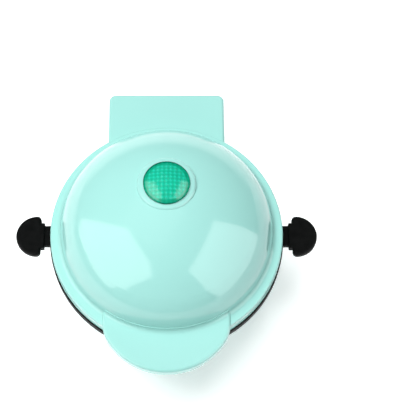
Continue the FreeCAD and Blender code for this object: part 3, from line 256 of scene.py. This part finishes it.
def lens_green():
    """Clear green plastic, deep green, with painted highlights that pale the tops of its dimples
    inside a smooth border.
    """
    s = Surface("lens_green")
    split = s.node("SeparateXYZ")
    s.link(s.place, split.inputs[0])
    across, along = split.outputs["X"], split.outputs["Y"]
    # painted highlights: the top of each dimple is coloured paler, as if it caught the light
    waves = [s.compute("COSINE", s.compute("MULTIPLY", axis, 2 * math.pi / DIMPLE))
             for axis in (across, along)]
    bumps = s.compute("MULTIPLY", s.compute("ADD", s.compute("ADD", *waves), 2.0), 0.25)
    dimple_highlights = s.compute("ADD", s.compute("MULTIPLY", s.compute("POWER", bumps, 2.0), 0.6), 0.4)
    squares = [s.compute("MULTIPLY", axis, axis) for axis in (across, along)]
    radius = s.compute("SQRT", s.compute("ADD", *squares))
    border = s.spread(radius, 1.0, 0.4, (DIMPLE_R - 0.0003, DIMPLE_R + BORDER_FADE))
    cloud = s.spread(s.noise(160.0, 2.0), -0.05, 0.05)
    # the painted dimple highlights fade out in the border; the cloud adds random tone
    dimple_highlight_and_tone = s.compute("ADD", s.compute("MULTIPLY", dimple_highlights, border), cloud)
    s.colour(dimple_highlight_and_tone, linear(0, 140, 104), linear(26, 200, 168), (0.0, 1.0))
    s.rough(s.noise(300.0, 3.0), 0.10, 0.16)

    # the clear skin over the dimples is smooth, so it has a normal of its own
    skin = s.node("VectorMath")
    skin.operation = "SUBTRACT"
    s.link(s.place, skin.inputs[0])
    skin.inputs[1].default_value = (0.0, SKIN_LEAN, -SKIN_DEPTH)
    world = s.node("VectorTransform")
    world.vector_type = "NORMAL"
    world.convert_from, world.convert_to = "OBJECT", "WORLD"
    s.link(skin.outputs["Vector"], world.inputs["Vector"])
    unit = s.node("VectorMath")
    unit.operation = "NORMALIZE"
    s.link(world.outputs["Vector"], unit.inputs[0])
    s.link(unit.outputs["Vector"], s.shader.inputs["Coat Normal"])
    s.uniform(IOR=1.4, Specular_IOR_Level=0.4,
              Coat_Weight=0.8, Coat_IOR=1.55, Coat_Roughness=0.14,
              Subsurface_Weight=0.2, Subsurface_Scale=0.002, Subsurface_Radius=(0.2, 1.0, 0.7))
    return s.material


def white_floor():
    s = Surface("floor")
    s.colour(s.noise(6.0, 2.0), linear(238, 239, 239), linear(242, 242, 242))
    s.rough(s.noise(20.0, 3.0), 0.85, 0.95)
    return s.uniform(Specular_IOR_Level=0.1, Emission_Color=(1, 1, 1, 1),
                     Emission_Strength=0.42).material


def pale_backdrop():
    s = Surface("backdrop")
    s.colour(s.noise(1.0, 2.0), linear(60, 60, 60), linear(70, 70, 70))
    s.rough(s.noise(2.0, 2.0), 0.85, 0.95)
    return s.uniform(Specular_IOR_Level=0.0, Emission_Color=(1, 1, 1, 1),
                     Emission_Strength=0.5).material


def slot_materials():
    """Material of each slot that the record names."""
    return {
        "mint_plastic": mint_plastic(),
        "black_plastic": black_plastic("black_plastic", 900.0),
        "screw_steel": metal("screw_steel", (0.62, 0.62, 0.63), 0.28),
        "spring_steel": metal("spring_steel", (0.52, 0.53, 0.54), 0.3, (1, 12, 1)),
        "bare_aluminium": metal("bare_aluminium", (0.74, 0.75, 0.76), 0.32, (14, 1, 1), 160.0),
        "element_steel": metal("element_steel", (0.20, 0.185, 0.175), 0.42),
        "thermostat_metal": metal("thermostat_metal", (0.60, 0.59, 0.56), 0.35),
        "non_stick": non_stick(),
        "white_ceramic": ceramic(),
        "sleeving": sleeving(),
        "black_rubber": rubber("black_rubber", 16),
        "grey_rubber": rubber("grey_rubber", 40),
        "lamp_glass": lamp_glass(),
        "green_lens": lens_green(),
    }


def finish_nodes(by_slot):
    """Gives each CAD node its material; the ear grips have a coarser grain."""
    grip = black_plastic("grip_plastic", 600.0)
    for part in frame["record"]["subparts"]:
        data = nodes[part["node"]].data
        is_grip = part["node"].endswith("ear_grip")
        chosen = grip if is_grip else by_slot[part["material_slot"]]
        if not data.materials:
            data.materials.append(chosen)
        for i in range(len(data.materials)):
            data.materials[i] = chosen


# ---- indicator lens ---------------------------------------------------------------------
def crown_height(x, y, sphere):
    """Height of the dimpled crown, 0 or less, at a place in the lens."""
    r = math.hypot(x, y)
    fall = sphere - math.sqrt(sphere ** 2 - r ** 2)
    waves = [math.cos(2 * math.pi * v / DIMPLE) for v in (x, y)]
    bump = ((sum(waves) + 2) / 4) ** 2
    fade = min(1.0, max(0.0, (DIMPLE_R - r) / BORDER_FADE))
    return (bump - 1.0) * DIMPLE_DEPTH * fade - fall


def lens_piece(green):
    """Domed lens with raised dimples inside a smooth border, over its skirt."""
    low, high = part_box("indicator_lens")
    middle = Vector((0, (low.y + high.y) / 2, high.z)) + CROWN_SHIFT
    radius = (high.x - low.x) / 2 + LENS_GAP_CUT
    sphere = (radius ** 2 + CROWN_RISE ** 2) / (2 * CROWN_RISE)
    skirt_bottom, skirt_inside, skirt_wall = -0.0112, -0.0045, 0.0016
    rings, spokes = 96, 256
    turns = [2 * math.pi * k / spokes for k in range(spokes)]

    verts = [(0.0, 0.0, 0.0)]
    for i in range(1, rings + 1):
        for a in turns:
            x, y = radius * i / rings * math.cos(a), radius * i / rings * math.sin(a)
            verts.append((x, y, crown_height(x, y, sphere)))
    skirt = [(radius, -0.0025), (radius, -0.006), (radius, skirt_bottom),
             (radius - skirt_wall, skirt_bottom), (radius - skirt_wall, skirt_inside)]
    for r, z in skirt:
        verts += [(r * math.cos(a), r * math.sin(a), z) for a in turns]

    faces = [(0, 1 + k, 1 + (k + 1) % spokes) for k in range(spokes)]
    for i in range(rings + len(skirt) - 1):
        upper, lower = 1 + i * spokes, 1 + (i + 1) * spokes
        for k in range(spokes):
            n = (k + 1) % spokes
            faces.append((upper + k, lower + k, lower + n, upper + n))
    mesh = bpy.data.meshes.new("lens")
    mesh.from_pydata(verts, [], faces)
    mesh.transform(Matrix.Rotation(LENS_TILT, 4, "X"))
    mesh.shade_smooth()
    mesh.materials.append(green)
    piece = add("lens", mesh)
    piece.location = middle
    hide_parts("indicator_lens")
    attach(piece, "lid")


# ---- studio -----------------------------------------------------------------------------
def glow(name, strength):
    """Plain white light-giving material."""
    material = bpy.data.materials.new(name)
    material.use_nodes = True
    tree = material.node_tree
    tree.nodes.clear()
    light = tree.nodes.new("ShaderNodeEmission")
    light.inputs["Color"].default_value = (1, 1, 1, 1)
    light.inputs["Strength"].default_value = strength
    out = tree.nodes.new("ShaderNodeOutputMaterial")
    tree.links.new(light.outputs[0], out.inputs[0])
    return material


def stage_piece(name, verts, faces, material):
    """Piece of the studio, which isn't part of the object."""
    mesh = bpy.data.meshes.new(name)
    mesh.from_pydata(verts, [], faces)
    mesh.materials.append(material)
    piece = add(name, mesh)
    return piece


def panel(name, side, corners, strength):
    """Soft box that shows only in reflections.

    A corner is its bearing from the handle's side and its height, in degrees; side is -1 for left.
    """
    verts = []
    for bearing, height in corners:
        b, h = math.radians(bearing), math.radians(height)
        ray = Vector((side * math.sin(b) * math.cos(h), -math.cos(b) * math.cos(h), math.sin(h)))
        verts.append(LIGHT_AIM + ray * PANEL_REACH)
    box = stage_piece(name, verts, [range(len(verts))], glow(name, strength))
    box.visible_camera = False
    box.visible_shadow = False
    box.visible_diffuse = False


def backdrop(radius, height):
    """Pale round wall behind the far end of the floor, which gives no light."""
    count = 48
    turns = [2 * math.pi * k / count for k in range(count)]
    verts = [(radius * math.cos(a), radius * math.sin(a), z) for z in (0, height) for a in turns]
    faces = [(k, (k + 1) % count, count + (k + 1) % count, count + k) for k in range(count)]
    wall = stage_piece("backdrop", verts, faces, pale_backdrop())
    wall.data.shade_smooth()
    wall.visible_diffuse = False
    wall.visible_glossy = False
    wall.visible_shadow = False
    wall.visible_transmission = False


def area_light(name, position, size, power):
    """Soft light aimed at the object, which doesn't show in reflections."""
    data = bpy.data.lights.new(name, "AREA")
    data.shape, data.size, data.size_y = "RECTANGLE", *size
    data.energy = power
    light = add(name, data)
    light.location = position
    light.rotation_mode = "QUATERNION"
    light.rotation_quaternion = (LIGHT_AIM - light.location).to_track_quat("-Z", "Y")
    light.visible_glossy = False


def sky():
    """Dim surroundings, brighter towards the top."""
    world = bpy.data.worlds.new("studio")
    scene.world = world
    world.use_nodes = True
    tree = world.node_tree
    place = tree.nodes.new("ShaderNodeTexCoord")
    upward = tree.nodes.new("ShaderNodeVectorMath")
    upward.operation = "DOT_PRODUCT"
    upward.inputs[1].default_value = Vector((-0.15, 0.1, 0.98)).normalized()
    ranged = tree.nodes.new("ShaderNodeMapRange")
    for key, value in zip(("From Min", "From Max", "To Min", "To Max"), (-0.7, 0.9, 0.70, 1.72)):
        ranged.inputs[key].default_value = value
    tree.links.new(place.outputs["Generated"], upward.inputs[0])
    tree.links.new(upward.outputs["Value"], ranged.inputs["Value"])
    tree.links.new(ranged.outputs["Result"], tree.nodes["Background"].inputs["Strength"])


def studio():
    """Floor, backdrop, the two soft boxes that the dome mirrors, and soft light."""
    reach = 6.0
    corners = [(-reach, -reach, 0), (reach, -reach, 0), (reach, reach, 0), (-reach, reach, 0)]
    stage_piece("floor", corners, [(0, 1, 2, 3)], white_floor())
    backdrop(reach - 0.1, 4.0)
    panel("left_box", -1, [(50, 10), (108, 10), (91, 57), (27, 57), (17, 45)], 3.0)
    panel("right_box", 1, [(43, -1), (98, -1), (103, 49), (28, 48)], 3.0)
    area_light("top", (-0.32, 0.2, 1.5), (1.2, 1.2), 34.5)
    area_light("front", (-0.1, -1.35, 0.6), (2.0, 1.0), 7.0)
    sky()


make_camera()
materials = slot_materials()
finish_nodes(materials)
lens_piece(materials["green_lens"])
studio()
